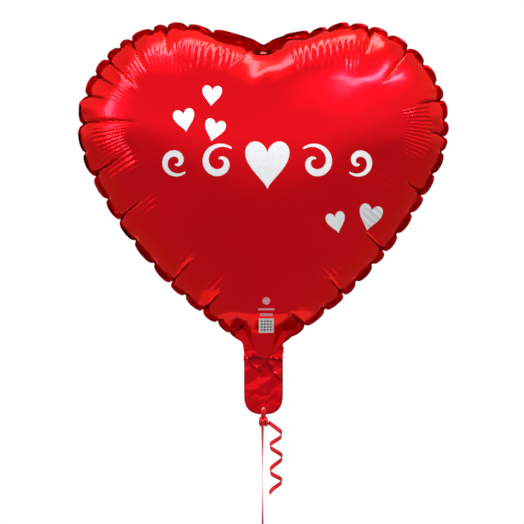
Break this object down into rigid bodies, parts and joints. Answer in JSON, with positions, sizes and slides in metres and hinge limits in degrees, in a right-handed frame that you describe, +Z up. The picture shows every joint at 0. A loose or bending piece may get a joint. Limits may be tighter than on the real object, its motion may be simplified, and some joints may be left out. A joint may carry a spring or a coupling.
{
  "type": "foil balloon",
  "caption": "Heart-shaped metallic foil balloon with a flat tail, self-sealing valve, printed hearts and a hanging curled ribbon.",
  "frame": {"origin": "middle of the neck, where the heart's tip meets the flat tail, in the plane of the welded rim", "axes": "+Z up from the neck through the cleft, the printed front faces -Y, +X to the right seen from the front"},
  "size_m": [0.4004, 0.1763, 0.6066],
  "materials": {
    "foil": "metallised satin film",
    "foil_rim": "metallised satin film, welded and gathered",
    "foil_tail": "metallised glossy film, crinkled",
    "white_ink": "matte printed ink",
    "pale_ink": "matte printed ink",
    "dark_ink": "matte printed ink",
    "valve_film": "clear film",
    "release_coat": "matte coating",
    "ribbon": "glossy curling ribbon"
  },
  "bodies": {
    "balloon": {"front_panel": "foil", "back_panel": "foil", "rim_seal": "foil_rim", "valve_tongue_front": "valve_film", "valve_tongue_back": "valve_film", "print_hearts_upper": "white_ink", "print_hearts_lower": "white_ink", "print_flourish": "white_ink", "print_marks": "pale_ink", "print_patch": "white_ink", "print_dots": "dark_ink"},
    "tail": {"tail_front_film": "foil_tail", "tail_back_film": "foil_tail", "tail_side_seals": "foil_tail", "tail_end_seal": "foil_tail", "valve_front_film": "valve_film", "valve_back_film": "valve_film", "valve_weld_lines": "valve_film", "valve_release_strip": "release_coat"},
    "tie": {"ribbon_loop": "ribbon", "ribbon_knot": "ribbon"},
    "ribbon": {"ribbon": "ribbon", "hand_loop_knot": "ribbon", "hand_loop": "ribbon"},
    "curl": {"curled_end": "ribbon"}
  },
  "joints": [
    {"name": "tail_flex", "type": "hinge", "parent": "balloon", "child": "tail", "pos_m": [0, 0, -0.002], "axis": [1, 0, 0], "range_deg": [-70, 70]},
    {"name": "tie_swing", "type": "hinge", "parent": "tail", "child": "tie", "pos_m": [0, 0, -0.072], "axis": [0, 1, 0], "range_deg": [-20, 20]},
    {"name": "ribbon_swing", "type": "hinge", "parent": "tie", "child": "ribbon", "pos_m": [0, 0, -0.0845], "axis": [1, 0, 0], "range_deg": [-75, 75]},
    {"name": "curl_swing", "type": "hinge", "parent": "tie", "child": "curl", "pos_m": [0, 0, -0.0845], "axis": [0, 1, 0], "range_deg": [-40, 0]}
  ]
}
